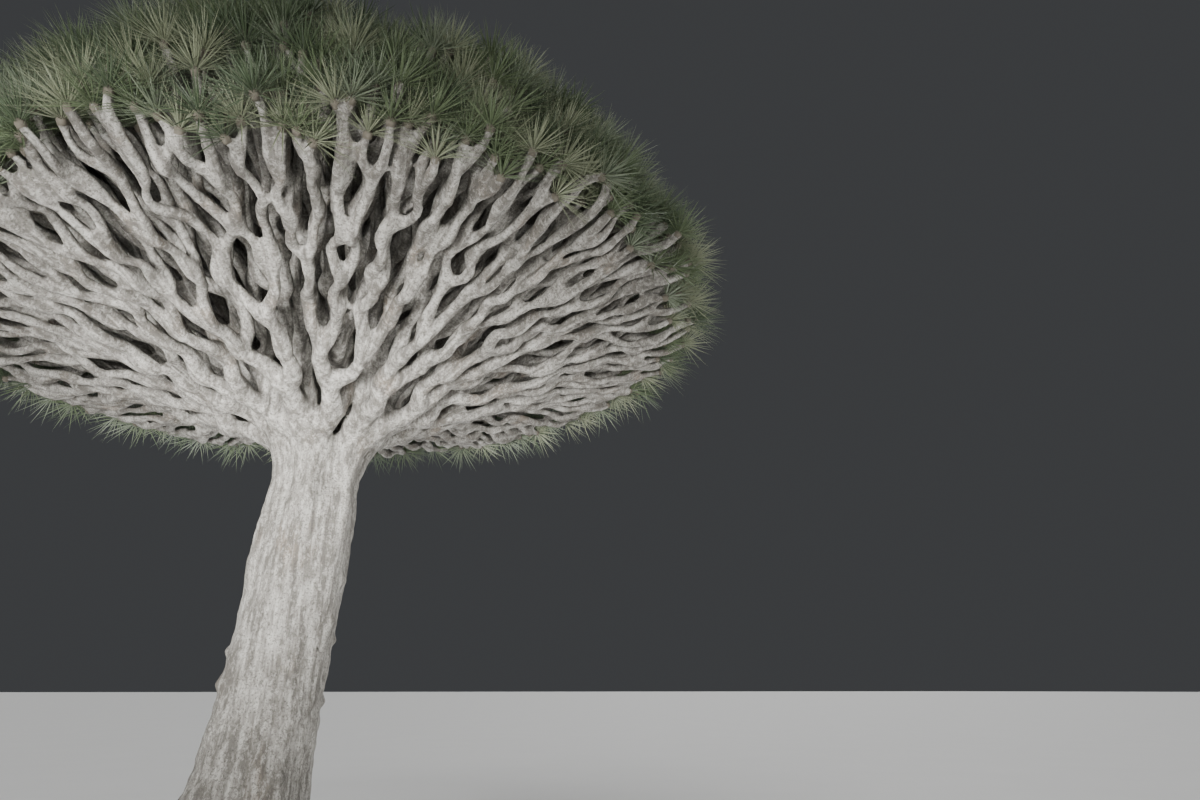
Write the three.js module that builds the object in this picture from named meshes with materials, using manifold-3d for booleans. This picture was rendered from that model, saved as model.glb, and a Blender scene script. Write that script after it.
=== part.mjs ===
// Dragon blood tree: one leaning trunk that forks once into seven boughs, which fork again and again in
// pairs until an umbrella of stiff leaves closes over them. Millimetres, +Z up. The origin is the centre
// of the flat cut at ground level, and -Y is the side that the tree is mostly seen from.
import * as THREE from 'three';
import { mergeVertices } from 'three/addons/utils/BufferGeometryUtils.js';
import Module from 'manifold-3d';

const wasm = await Module();
wasm.setup();

const { degToRad, lerp } = THREE.MathUtils;

// The trunk: its fork, its half widths at the foot, the waist and the swollen head under the fork, and how
// far up the flare and the swelling reach. The head closes in a low cap that the boughs stand out of.
const FORK_HEIGHT = 3250;
const FORK_LEAN = 330;
const FOOT_RADIUS = 650;
const WAIST_RADIUS = 392;
const HEAD_RADIUS = 435;
const FLARE_HEIGHT = 600;
const HEAD_HEIGHT = 3060;
const HEAD_SPREAD = 390;
const CAP_HEIGHT = 130;
const CAP_ROUNDNESS = 2.2;
const EARLY_LEAN = 0.25;
const ROOT_LOBES = 5;
const ROOT_LOBE_DEPTH = 0.13;
const TRUNK_SIDES = 15;
const TRUNK_RINGS = 11;
const EVEN_RINGS = 0.35;

// The crown, as directions from the fork. A place in it has a share of the way from the crown's axis (0) to
// its rim (1), an azimuth, and a reach, which is its distance from the fork.
const RIM_ANGLE = degToRad(69);
const RIM_DROOP = degToRad(3);
const DROOP_AZIMUTH = degToRad(140);
const GATHER = 0.8;
const SHOULDER = 0.05;
const SIDE_REACH = 0.06;
const SIDE_AZIMUTH = degToRad(-35);
const TIP_REACH = 3380;
const LEAF_REACH = 4060;

// The main boughs: one up the middle, and six round it from this azimuth on. They start deep in the head.
const MIDDLE_SHARE = 0.4;
const OUTER_BOUGHS = 6;
const FIRST_BOUND = degToRad(-15);
const FIRST_ID = 8;
const BOUGH_ROOT_DEPTH = 350;

// Limbs by their order: 1 is a main bough, 2 a branch, 3 the stem of a mass, and the rest its twigs. For
// each, the reach of its end and its half widths at both ends.
const REACHES = [0, 800, 1390, 1900, 2360, TIP_REACH];
const LIMB_RADII = [[], [200, 160], [140, 110], [98, 84], [80, 70], [64, 48]];
const BOUGH_ORDER = 1;
const BRANCH_ORDER = 2;
const STEM_ORDER = 3;
const LAST_ORDER = REACHES.length - 1;
const LIMB_BEND = 0.05;
const BOUGH_RINGS = 3;
const BRANCH_RINGS = 2;
const LIMB_SIDES = 9;
const STEM_SIDES = 5;
const TWIG_SIDES = 3;
const ROOT_TAPER = 0.4;
const STEM_OVERLAP = 0.3;

// How unevenly forks part their room, and limbs keep to the middle of theirs.
const UNEVEN_SPLIT = 0.08;
const UNEVEN_PLACE = 0.16;
const UNEVEN_REACH = 0.03;

// The leaves: sprays of stiff blades, each of which stands for several. A blade leans out as far as it can.
const BLADES_PER_SPRAY = 7;
const BLADE_LEANS = [58, 46, 34, 22].map(degToRad);
const BLADE_CHECKS = [0.25, 0.5, 0.75, 1];
const HUB_RADIUS = 115;
const HUB_DEPTH = 125;
const SPIKE_SHARE = 0.42;
const RIM_OVERHANG = 1.16;

// Room between neighbours: the gap where a limb is seated, the gap to the next limb at the same fork, and
// the distance that a mass and a spray keep from the bounds of their space.
const SEAT_GAP = 0.7;
const SIDE_GAP = 0.2;
const CELL_MARGIN = 16;
const SAME_POINT = 1e-4;
const SMALLEST_EDGE = 0.1;

const FORK = new THREE.Vector3(FORK_LEAN, 0, FORK_HEIGHT);
const BOUGH_ROOT = new THREE.Vector3(FORK_LEAN, 0, FORK_HEIGHT - BOUGH_ROOT_DEPTH);
const BARK = { color: 0x8d887d, roughness: 0.9, metalness: 0 };
const FOLIAGE = { color: 0x66705c, roughness: 0.6, metalness: 0 };

// A repeatable number from 0 to 1 for one place on the tree, so that the same rule gives the same tree.
const CHANCE_PRIME = 1000003;
const CHANCE_ROUNDS = 3;
function chance(id, draw) {
  let value = (id * 7919 + draw * 104729 + 51) % CHANCE_PRIME;
  for (let round = 0; round < CHANCE_ROUNDS; round += 1) {
    value = (value * value + 49297) % CHANCE_PRIME;
  }
  return value / CHANCE_PRIME;
}

function uneven(id, draw, size) {
  return (2 * chance(id, draw) - 1) * size;
}

// The crown's own coordinates. Limbs leave the fork steeply and arch outwards, so the angle from the axis
// opens with the reach. The rim hangs lower on one side, and the crown is fuller between its top and its
// rim than a ball would be, and reaches further out on one side.
function opening(azimuth, reach) {
  const rim = RIM_ANGLE + RIM_DROOP * Math.cos(azimuth - DROOP_AZIMUTH);
  return rim * lerp(GATHER, 1, Math.min(1, reach / TIP_REACH));
}

function fullness(share, azimuth) {
  const sideways = share * Math.cos(azimuth - SIDE_AZIMUTH);
  return 1 + SHOULDER * Math.sin(Math.PI * share) ** 2 + SIDE_REACH * sideways;
}

function placeAt(share, azimuth, reach) {
  const angle = share * opening(azimuth, reach);
  const distance = reach * fullness(share, azimuth);
  const outward = distance * Math.sin(angle);
  const offset = new THREE.Vector3(
    outward * Math.cos(azimuth),
    outward * Math.sin(azimuth),
    distance * Math.cos(angle),
  );
  return offset.add(FORK);
}

// A cell is a patch of directions: shares from inner to outer, azimuths from low to high. Its middle is the
// centroid of that patch laid out flat.
function centreOf(cell) {
  const half = (cell.high - cell.low) / 2;
  const ring = (cell.outer ** 3 - cell.inner ** 3) / (cell.outer ** 2 - cell.inner ** 2);
  return {
    share: (2 / 3) * (Math.sin(half) / half) * ring,
    azimuth: (cell.low + cell.high) / 2,
  };
}

function limbEnd(cell, order) {
  const centre = centreOf(cell);
  const share = centre.share + uneven(cell.id, 1, UNEVEN_PLACE) * (cell.outer - cell.inner);
  const azimuth = centre.azimuth + uneven(cell.id, 2, UNEVEN_PLACE) * (cell.high - cell.low);
  return placeAt(share, azimuth, REACHES[order] * (1 + uneven(cell.id, 3, UNEVEN_REACH)));
}

// Each fork parts its cell across the longer way, a little to one side of the middle.
function splitCell(cell) {
  const middle = Math.hypot(cell.inner, cell.outer) / Math.SQRT2;
  const shift = uneven(cell.id, 0, UNEVEN_SPLIT);
  const partsRound = middle * (cell.high - cell.low) > cell.outer - cell.inner;
  const first = { ...cell, id: 2 * cell.id };
  const second = { ...cell, id: 2 * cell.id + 1 };
  if (partsRound) {
    first.high = lerp(cell.low, cell.high, 0.5 + shift);
    second.low = first.high;
  } else {
    first.outer = middle + (cell.outer - cell.inner) * shift;
    second.inner = first.outer;
  }
  return [first, second];
}

function mainCells() {
  const cells = [{ id: FIRST_ID, inner: 0, outer: MIDDLE_SHARE, low: -Math.PI, high: Math.PI }];
  const turn = (2 * Math.PI) / OUTER_BOUGHS;
  for (let place = 0; place < OUTER_BOUGHS; place += 1) {
    const low = FIRST_BOUND + place * turn;
    cells.push({ id: FIRST_ID + 1 + place, inner: MIDDLE_SHARE, outer: 1, low, high: low + turn });
  }
  return cells;
}

// How far inside its cell a point lies. Nothing grows past the rim, so there the leaves may hang over.
function roomInCell(cell, point) {
  const offset = point.clone().sub(FORK);
  const reach = offset.length();
  const azimuth = Math.atan2(offset.y, offset.x);
  const angle = Math.acos(offset.z / reach);
  const scale = opening(azimuth, reach);
  const outer = cell.outer === 1 ? RIM_OVERHANG : cell.outer;
  const middle = (cell.low + cell.high) / 2;
  const turned = Math.abs(Math.atan2(Math.sin(azimuth - middle), Math.cos(azimuth - middle)));
  const beside = Math.min(Math.PI / 2, (cell.high - cell.low) / 2 - turned);
  return Math.min(
    (outer * scale - angle) * reach,
    cell.inner > 0 ? (angle - cell.inner * scale) * reach : Infinity,
    reach * Math.sin(angle) * Math.sin(beside),
  );
}

// Closed meshes to solids and back. Only the position is kept, and faces with no area are left out.
function weld(geometry) {
  geometry.deleteAttribute('normal');
  geometry.deleteAttribute('uv');
  return mergeVertices(geometry, SAME_POINT);
}

function toSolid(geometry) {
  const welded = weld(geometry);
  const corners = welded.index.array;
  const kept = [];
  for (let i = 0; i < corners.length; i += 3) {
    const [a, b, c] = corners.slice(i, i + 3);
    if (a !== b && b !== c && c !== a) {
      kept.push(a, b, c);
    }
  }
  return new wasm.Manifold(new wasm.Mesh({
    numProp: 3,
    vertProperties: new Float32Array(welded.attributes.position.array),
    triVerts: new Uint32Array(kept),
  }));
}

function toGeometry(solid) {
  const mesh = solid.getMesh();
  const geometry = new THREE.BufferGeometry();
  geometry.setAttribute('position', new THREE.BufferAttribute(mesh.vertProperties, 3));
  geometry.setIndex(new THREE.BufferAttribute(mesh.triVerts, 1));
  geometry.computeVertexNormals();
  return geometry;
}

// Only the largest body is kept, which drops scraps and fills sealed hollows.
function largestBody(solid) {
  const bodies = solid.simplify(SMALLEST_EDGE).decompose();
  return bodies.reduce((best, body) => (body.volume() > best.volume() ? body : best));
}

// The same shape with its faces moved out by the seat gap, to cut what grows from it.
function grown(geometry) {
  const welded = weld(geometry.clone());
  welded.computeVertexNormals();
  const place = welded.attributes.position;
  for (let i = 0; i < place.count; i += 1) {
    const spot = new THREE.Vector3().fromBufferAttribute(place, i);
    const outward = new THREE.Vector3().fromBufferAttribute(welded.attributes.normal, i);
    place.setXYZ(i, ...spot.addScaledVector(outward, SEAT_GAP));
  }
  return toSolid(welded);
}

// The trunk's half width at a height: a flared foot, a waist, and a swollen head that closes in a cap.
function trunkRadius(height) {
  const flare = (FOOT_RADIUS - WAIST_RADIUS) * Math.exp(-height / FLARE_HEIGHT);
  const swell = (HEAD_RADIUS - WAIST_RADIUS) * Math.exp(-(((height - HEAD_HEIGHT) / HEAD_SPREAD) ** 2));
  const cap = Math.max(0, (height - HEAD_HEIGHT) / (FORK_HEIGHT + CAP_HEIGHT - HEAD_HEIGHT));
  return (WAIST_RADIUS + flare + swell) * Math.sqrt(1 - cap ** CAP_ROUNDNESS);
}

// Part of the lean comes early, and eases off towards the fork.
function trunkLean(height) {
  const rise = Math.min(1, height / FORK_HEIGHT);
  return FORK_LEAN * lerp(rise, Math.sin((rise * Math.PI) / 2), EARLY_LEAN);
}

// The trunk is turned about its axis in rings that lie closer at the foot and the head, and then leant and
// lobed at the roots. Its underside stays flat.
function trunkShape() {
  const top = FORK_HEIGHT + CAP_HEIGHT;
  const profile = [new THREE.Vector2(0, 0)];
  for (let ring = 0; ring < TRUNK_RINGS; ring += 1) {
    const rise = ring / TRUNK_RINGS;
    const height = top * lerp(Math.sin((rise * Math.PI) / 2) ** 2, rise, EVEN_RINGS);
    profile.push(new THREE.Vector2(trunkRadius(height), height));
  }
  profile.push(new THREE.Vector2(0, top));
  const shape = new THREE.LatheGeometry(profile, TRUNK_SIDES);
  shape.rotateX(Math.PI / 2);
  const place = shape.attributes.position;
  for (let i = 0; i < place.count; i += 1) {
    const height = place.getZ(i);
    const turn = Math.atan2(place.getY(i), place.getX(i));
    const lobe = 1 + ROOT_LOBE_DEPTH * Math.cos(ROOT_LOBES * turn) * Math.exp(-height / FLARE_HEIGHT);
    place.setXYZ(i, place.getX(i) * lobe + trunkLean(height), place.getY(i) * lobe, height);
  }
  return shape;
}

// A tapering limb through some points: a cylinder whose rings are moved onto them and turned to face along
// the way, each ring carrying on the turn of the one before.
function limbShape(points, radii, sides) {
  const rings = points.length - 1;
  let side = new THREE.Vector3(0.31, 0.95, 0);
  const frames = points.map((point, ring) => {
    const before = points[Math.max(0, ring - 1)];
    const after = points[Math.min(rings, ring + 1)];
    const ahead = after.clone().sub(before).normalize();
    side = side.clone().addScaledVector(ahead, -side.dot(ahead)).normalize();
    return { side, front: side.clone().cross(ahead) };
  });
  const shape = new THREE.CylinderGeometry(1, 1, 1, sides, rings);
  const place = shape.attributes.position;
  for (let i = 0; i < place.count; i += 1) {
    const ring = Math.round((place.getY(i) + 0.5) * rings);
    const spot = points[ring].clone();
    spot.addScaledVector(frames[ring].side, place.getX(i) * radii[ring]);
    spot.addScaledVector(frames[ring].front, place.getZ(i) * radii[ring]);
    place.setXYZ(i, ...spot);
  }
  return shape;
}

// A bough or branch leaves its fork steeply and bends outwards on its way.
function bentLimb(start, end, order, rings) {
  const bend = start.clone().lerp(end, 0.5);
  bend.z += start.distanceTo(end) * LIMB_BEND;
  const points = new THREE.QuadraticBezierCurve3(start, bend, end).getPoints(rings);
  const radii = points.map((point, ring) => lerp(...LIMB_RADII[order], ring / rings));
  return limbShape(points, radii, LIMB_SIDES);
}

// A fork's limbs share the room round it: each keeps to its side of the plane between it and each other.
function keepOwnSide(solid, fork, own, others) {
  const ownWay = own.clone().sub(fork).normalize();
  return others.reduce((kept, other) => {
    const between = ownWay.clone().sub(other.clone().sub(fork).normalize()).normalize();
    return kept.trimByPlane(between.toArray(), between.dot(fork) + SIDE_GAP);
  }, solid);
}

// One limb cut clear of what carries it and of its neighbours at the same fork.
function seatedLimb(carrier, shape, fork, end, others) {
  const cut = toSolid(shape.clone()).subtract(grown(carrier));
  return largestBody(keepOwnSide(cut, fork, end, others));
}

// Whether a blade from the root to the point keeps its distance from the cell's bounds all along.
function bladeFits(cell, root, point) {
  return BLADE_CHECKS.every((share) => roomInCell(cell, root.clone().lerp(point, share)) > CELL_MARGIN);
}

// A spray: stiff blades standing round a twig's tip, joined at their roots, with the upright ones as one
// spike in the middle. It is a double pyramid whose ring is drawn out to a blade's point and back to a notch
// by turns. Each blade leans out as far as the tip's own space allows, and is skipped where even a nearly
// straight one would leave that space.
function sprayAt(cell, start, tip) {
  const ahead = tip.clone().sub(start).normalize();
  const side = new THREE.Vector3(-ahead.y, ahead.x, 0).normalize();
  const front = ahead.clone().cross(side);
  const centre = centreOf(cell);
  const length = LEAF_REACH * fullness(centre.share, centre.azimuth) - tip.distanceTo(FORK);
  const firstTurn = chance(cell.id, 4) * Math.PI * 2;

  function spotAt(turn, outward, along) {
    const spot = tip.clone().addScaledVector(ahead, along);
    spot.addScaledVector(side, outward * Math.cos(turn));
    return spot.addScaledVector(front, outward * Math.sin(turn));
  }

  function ringSpot(step) {
    const turn = firstTurn + (step * Math.PI) / BLADES_PER_SPRAY;
    const points = BLADE_LEANS.map((lean) => spotAt(turn, length * Math.sin(lean), length * Math.cos(lean)));
    const point = step % 2 === 0 && points.find((each) => bladeFits(cell, tip, each));
    return point || spotAt(turn, HUB_RADIUS, 0);
  }

  const rows = [[0, 0], [1, 1], [0, 2]];
  const spray = new THREE.LatheGeometry(rows.map((row) => new THREE.Vector2(...row)), 2 * BLADES_PER_SPRAY);
  const place = spray.attributes.position;
  for (let i = 0; i < place.count; i += 1) {
    const step = Math.floor(i / rows.length) % (2 * BLADES_PER_SPRAY);
    const column = [spotAt(0, 0, -HUB_DEPTH), ringSpot(step), spotAt(0, 0, length * SPIKE_SHARE)];
    place.setXYZ(i, ...column[i % rows.length]);
  }
  return toSolid(spray);
}

// A line of twigs is a list of points, each with a half width.
function twigLine(line) {
  return toSolid(limbShape(line.map(([point]) => point), line.map(([, radius]) => radius), TWIG_SIDES));
}

// The twigs past a mass's stem. At each fork the line that is being followed goes on along the first child,
// and a new line starts for the second. The last order carries the leaves.
function growTwigs(cell, mass, line, order, solids) {
  const [start] = line.at(-1);
  const [rootRadius, endRadius] = LIMB_RADII[order];
  splitCell(cell).forEach((child, place) => {
    const end = limbEnd(child, order);
    if (roomInCell(mass, end) < endRadius + CELL_MARGIN) {
      return;
    }
    const follows = place === 0 ? line : [[start, rootRadius * ROOT_TAPER]];
    follows.push([end, endRadius]);
    if (order < LAST_ORDER) {
      growTwigs(child, mass, follows, order + 1, solids);
    } else {
      solids.push(sprayAt(child, start, end));
    }
    if (place === 1) {
      solids.push(twigLine(follows));
    }
  });
  return solids;
}

// A mass: its stem, the line of twigs that carries the stem on, the other twigs and the leaves, as one.
function foliageMass(carrier, fork, cell, others) {
  const end = limbEnd(cell, STEM_ORDER);
  const stemShape = limbShape([fork, end], LIMB_RADII[STEM_ORDER], STEM_SIDES);
  const stem = seatedLimb(carrier, stemShape, fork, end, others);
  const endRadius = LIMB_RADII[STEM_ORDER][1];
  const line = [[end.clone().lerp(fork, STEM_OVERLAP), endRadius], [end, endRadius]];
  const growth = growTwigs(cell, cell, line, STEM_ORDER + 1, []);
  return largestBody(wasm.Manifold.union([stem, twigLine(line), ...growth]));
}

function named(name, solid, finish) {
  const mesh = new THREE.Mesh(toGeometry(solid), new THREE.MeshStandardMaterial(finish));
  mesh.name = name;
  return mesh;
}

function endsOfOthers(cells, own, order) {
  return cells.filter((cell) => cell !== own).map((cell) => limbEnd(cell, order));
}

const tree = new THREE.Group();
const trunk = trunkShape();
tree.add(named('trunk', toSolid(trunk.clone()), BARK));

const boughCells = mainCells();
boughCells.forEach((boughCell, boughPlace) => {
  const boughName = `${boughPlace + 1}`;
  const boughEnd = limbEnd(boughCell, BOUGH_ORDER);
  const bough = bentLimb(BOUGH_ROOT, boughEnd, BOUGH_ORDER, BOUGH_RINGS);
  const otherBoughs = endsOfOthers(boughCells, boughCell, BOUGH_ORDER);
  const seatedBough = seatedLimb(trunk, bough, BOUGH_ROOT, boughEnd, otherBoughs);
  tree.add(named(`bough_${boughName}`, seatedBough, BARK));

  const branchCells = splitCell(boughCell);
  branchCells.forEach((branchCell, branchPlace) => {
    const branchName = boughName + 'ab'[branchPlace];
    const branchEnd = limbEnd(branchCell, BRANCH_ORDER);
    const branch = bentLimb(boughEnd, branchEnd, BRANCH_ORDER, BRANCH_RINGS);
    const otherBranch = endsOfOthers(branchCells, branchCell, BRANCH_ORDER);
    const seatedBranch = seatedLimb(bough, branch, boughEnd, branchEnd, otherBranch);
    tree.add(named(`branch_${branchName}`, seatedBranch, BARK));

    const massCells = splitCell(branchCell);
    massCells.forEach((massCell, massPlace) => {
      const otherStem = endsOfOthers(massCells, massCell, STEM_ORDER);
      const mass = foliageMass(branch, branchEnd, massCell, otherStem);
      tree.add(named(`foliage_${branchName}${massPlace + 1}`, mass, FOLIAGE));
    });
  });
});

export default tree;
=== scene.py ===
# %% [markdown]
# # A dragon blood tree, from its trunk to its leaves
#
# This tree stands on one thick stem. The stem parts into seven boughs, and every fork after that parts in
# two again, until nearly two thousand twigs end level with each other and their tufts of stiff leaves close
# into an umbrella. The lesson dresses a imported model of it with a skin of bark, the twigs, and the leaves.
#
# The imported model comes first, because its sizes are the ones that everything here is fitted to, and the
# top of its trunk sets the height of the fork.

# %% Load the imported model
import math
from collections import namedtuple

import bmesh
import bpy
import numpy as np
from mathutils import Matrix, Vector, noise


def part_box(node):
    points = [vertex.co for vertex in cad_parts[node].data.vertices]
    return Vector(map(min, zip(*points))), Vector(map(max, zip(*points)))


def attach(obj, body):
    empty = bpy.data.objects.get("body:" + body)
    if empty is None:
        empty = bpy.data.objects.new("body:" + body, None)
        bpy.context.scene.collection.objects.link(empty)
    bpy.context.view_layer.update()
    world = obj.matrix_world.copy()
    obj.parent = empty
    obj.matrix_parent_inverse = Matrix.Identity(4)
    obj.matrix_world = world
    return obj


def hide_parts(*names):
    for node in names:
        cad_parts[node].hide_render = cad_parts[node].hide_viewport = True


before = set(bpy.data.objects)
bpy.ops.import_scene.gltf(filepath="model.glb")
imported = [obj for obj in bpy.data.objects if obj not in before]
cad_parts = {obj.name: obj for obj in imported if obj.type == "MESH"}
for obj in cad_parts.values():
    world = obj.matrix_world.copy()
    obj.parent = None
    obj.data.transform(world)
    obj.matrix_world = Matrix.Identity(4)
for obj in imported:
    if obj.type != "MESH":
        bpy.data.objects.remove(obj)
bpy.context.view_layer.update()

_, trunk_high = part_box("trunk")

# %% [markdown]
# ## The camera
#
# The picture was taken from eye height with a wide lens, close enough that the crown hangs over the
# camera. A wide lens makes near twigs large and far twigs small, and that is most of what makes the crown
# read as an umbrella seen from below, so the camera is settled before anything is made. It is tilted up
# instead of shifted, as a held camera is.

# %% Place the camera
EYE_HEIGHT = 1.5
CAMERA_DISTANCE = 7.6
TURN_RIGHT = math.radians(22.4)
TILT_UP = math.radians(19.9)
LENS_MM = 24

scene = bpy.context.scene
camera = bpy.data.objects.new("camera", bpy.data.cameras.new("camera"))
camera.data.lens = LENS_MM
camera.location = (0, -CAMERA_DISTANCE, EYE_HEIGHT)
camera.rotation_euler = (math.pi / 2 + TILT_UP, 0, -TURN_RIGHT)
scene.collection.objects.link(camera)
scene.camera = camera
print("camera at", tuple(camera.location), "with a", LENS_MM, "mm lens")

# %% [markdown]
# ## The rule that the crown grows by
#
# A tree could be drawn branch by branch, but a rule is shorter and gives a fuller crown. It should still
# look grown, so most of its sizes are a little uneven. The uneven numbers look random but come from the id
# of the cell, or of whatever else they belong to, so the tree is the same on every run. Each thing that
# varies has a draw of its own, so that no two of them vary together.

# %% Numbers that vary from place to place
CHANCE_PRIME = 1000003
CHANCE_ROUNDS = 3
CHANCE_START = 51
ID_STEP = 7919
DRAW_STEP = 104729
ROUND_STEP = 49297
FIRST_ID = 8


def chance(cell_id, draw):
    """A repeatable number from 0 to 1."""
    value = (cell_id * ID_STEP + draw * DRAW_STEP + CHANCE_START) % CHANCE_PRIME
    for _ in range(CHANCE_ROUNDS):
        value = (value * value + ROUND_STEP) % CHANCE_PRIME
    return value / CHANCE_PRIME


def uneven(cell_id, draw, size):
    """A repeatable number from -size to size."""
    return (2 * chance(cell_id, draw) - 1) * size


print("three draws for the first cell:", [round(chance(FIRST_ID, draw), 3) for draw in range(3)])

# %% [markdown]
# A place in the crown is a direction from the fork and a distance from it, its reach. The direction is an
# azimuth and a share of the way from the crown's axis to its rim. The real crown is no exact piece of a
# ball: it is fullest between its top and its rim, and one side of it reaches further than the other.

# %% The crown's own coordinates
FORK_LEAN = 0.33
CAP_HEIGHT = 0.13
FORK = Vector((FORK_LEAN, 0, trunk_high.z - CAP_HEIGHT))
RIM_ANGLE = math.radians(69)
RIM_DROOP = math.radians(3)
DROOP_AZIMUTH = math.radians(140)
GATHER = 0.8
SHOULDER = 0.05
SIDE_REACH = 0.06
SIDE_AZIMUTH = math.radians(-35)
FULL_OPENING_REACH = 3.38


def between(first, last, share):
    """The value that lies a share of the way from the first to the last."""
    return first + (last - first) * share


def opening(azimuth, reach):
    """The angle from the crown's axis to its rim, which opens with the reach because limbs arch outwards."""
    rim = RIM_ANGLE + RIM_DROOP * math.cos(azimuth - DROOP_AZIMUTH)
    return rim * between(GATHER, 1, min(1, reach / FULL_OPENING_REACH))


def fullness(share, azimuth):
    """How much further than a ball the crown reaches, between its top and its rim and on its long side."""
    sideways = share * math.cos(azimuth - SIDE_AZIMUTH)
    return 1 + SHOULDER * math.sin(math.pi * share) ** 2 + SIDE_REACH * sideways


def place_at(share, azimuth, reach):
    """A place in the crown, from its share of the way to the rim, its azimuth and its reach."""
    angle = share * opening(azimuth, reach)
    distance = reach * fullness(share, azimuth)
    outward = distance * math.sin(angle)
    offset = (outward * math.cos(azimuth), outward * math.sin(azimuth), distance * math.cos(angle))
    return FORK + Vector(offset)


print("fork at", tuple(round(value, 3) for value in FORK))

# %% [markdown]
# A cell is a patch of directions, and each fork parts a cell in two across its longer way, so that no two
# limbs ever want the same room. Limbs of one order all end at about the same reach, which is why the real
# crown is so even.

# %% Cells, and how a fork parts one
MIDDLE_SHARE = 0.4
OUTER_BOUGHS = 6
FIRST_BOUND = math.radians(-15)
UNEVEN_SPLIT = 0.08
UNEVEN_PLACE = 0.16
UNEVEN_REACH = 0.03
UNEVEN_LAST_REACH = 0.05
REACHES = [0, 0.44, 0.69, 1.03, 1.34, 1.74, 2.12, 2.58, 3.06, 3.57]
LAST_ORDER = len(REACHES) - 1
SPLIT_DRAW = 0
SHARE_DRAW = 1
AZIMUTH_DRAW = 2
REACH_DRAW = 3

Cell = namedtuple("Cell", "id inner outer low high")


def centre_of(cell):
    """The middle of a cell, as a share and an azimuth: the centroid of its patch laid out flat."""
    half = (cell.high - cell.low) / 2
    ring = (cell.outer ** 3 - cell.inner ** 3) / (cell.outer ** 2 - cell.inner ** 2)
    return 2 / 3 * math.sin(half) / half * ring, (cell.low + cell.high) / 2


def limb_end(cell, order, further=0):
    """Where a limb ends, or a place further out on the same way."""
    share, azimuth = centre_of(cell)
    share += uneven(cell.id, SHARE_DRAW, UNEVEN_PLACE) * (cell.outer - cell.inner)
    azimuth += uneven(cell.id, AZIMUTH_DRAW, UNEVEN_PLACE) * (cell.high - cell.low)
    uneven_reach = UNEVEN_LAST_REACH if order == LAST_ORDER else UNEVEN_REACH
    reach = REACHES[order] * (1 + uneven(cell.id, REACH_DRAW, uneven_reach))
    return place_at(share, azimuth, reach + further)


def split_cell(cell):
    """The two halves of a cell, equal in area but for an uneven shift."""
    middle = math.hypot(cell.inner, cell.outer) / math.sqrt(2)
    shift = uneven(cell.id, SPLIT_DRAW, UNEVEN_SPLIT)
    first, second = cell._replace(id=2 * cell.id), cell._replace(id=2 * cell.id + 1)
    if middle * (cell.high - cell.low) > cell.outer - cell.inner:
        bound = between(cell.low, cell.high, 0.5 + shift)
        return first._replace(high=bound), second._replace(low=bound)
    bound = middle + (cell.outer - cell.inner) * shift
    return first._replace(outer=bound), second._replace(inner=bound)


def main_cells():
    """One cell round the crown's axis, and a ring of them outside it."""
    turn = 2 * math.pi / OUTER_BOUGHS
    middle = Cell(FIRST_ID, 0, MIDDLE_SHARE, -math.pi, math.pi)
    cells = [middle]
    for place in range(OUTER_BOUGHS):
        low = FIRST_BOUND + place * turn
        cells.append(Cell(FIRST_ID + 1 + place, MIDDLE_SHARE, 1, low, low + turn))
    return cells


print("a first cell parts into", split_cell(main_cells()[1]))

# %% [markdown]
# ## Growing the limbs
#
# Each limb is kept as a short curve before it becomes a mesh. On the real tree a limb leaves its fork in
# the direction of the one before, moves aside, and then turns outwards again, so that a fork looks like a
# tuning fork, and neighbours run side by side with a narrow dark slit between them. A cubic curve with a
# handle at each end does that, and a little wander keeps it from looking drawn.
#
# The main boughs don't start at the fork. They rise inside the trunk's wall from well below it, so that
# the trunk widens into them like a bundle of stems, with no edge where one ends and the next begins.

# %% Grow every limb as a curve
BOUGH_ROOT_DEPTH = 0.90
BOUGH_ROOT_OUT = 0.20
FIRST_HANDLE = 0.30
LAST_HANDLE = 0.28
BOUGH_LAST_HANDLE = 0.2
WANDER = 0.07
LIMB_STEPS = 8
FIRST_WANDERING_ORDER = 2
EARLY_LEAN = 0.25
OUTWARD_STEP = 0.1
WANDER_DRAW = 10
SWAY_DRAW = 20

Limb = namedtuple("Limb", "order bough id points")


def random_way(cell_id, draw):
    """A repeatable direction, which takes three draws."""
    way = Vector([uneven(cell_id, draw + axis, 1) for axis in range(3)])
    return way.normalized()


def limb_curve(cell, order, start, end, way):
    """Points from one fork to the next, along a curve that starts the old way and ends outwards."""
    length = (end - start).length
    outwards = (limb_end(cell, order, further=OUTWARD_STEP) - end).normalized()
    leave = start + way * (length * FIRST_HANDLE)
    arrive = end - outwards * (length * (LAST_HANDLE if order > 1 else BOUGH_LAST_HANDLE))
    wander = WANDER * length if order >= FIRST_WANDERING_ORDER else 0
    first, second = random_way(cell.id, WANDER_DRAW), random_way(cell.id, SWAY_DRAW)
    points = []
    for step in range(LIMB_STEPS + 1):
        share = step / LIMB_STEPS
        early = start.lerp(leave, share).lerp(leave.lerp(arrive, share), share)
        late = leave.lerp(arrive, share).lerp(arrive.lerp(end, share), share)
        point = early.lerp(late, share)
        point += first * (wander * math.sin(math.pi * share))
        points.append(point + second * (wander * math.sin(2 * math.pi * share)))
    return points


def grow(cell, order, start, way, bough, limbs):
    """Add a cell's limb, and then the limbs of its two halves."""
    points = limb_curve(cell, order, start, limb_end(cell, order), way)
    limbs.append(Limb(order, bough, cell.id, points))
    if order < LAST_ORDER:
        for child in split_cell(cell):
            grow(child, order + 1, points[-1], (points[-1] - points[-2]).normalized(), bough, limbs)


def trunk_lean(height):
    """How far the trunk's middle has moved towards +X at a height."""
    rise = min(1, height / FORK.z)
    return FORK_LEAN * between(rise, math.sin(rise * math.pi / 2), EARLY_LEAN)


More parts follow.
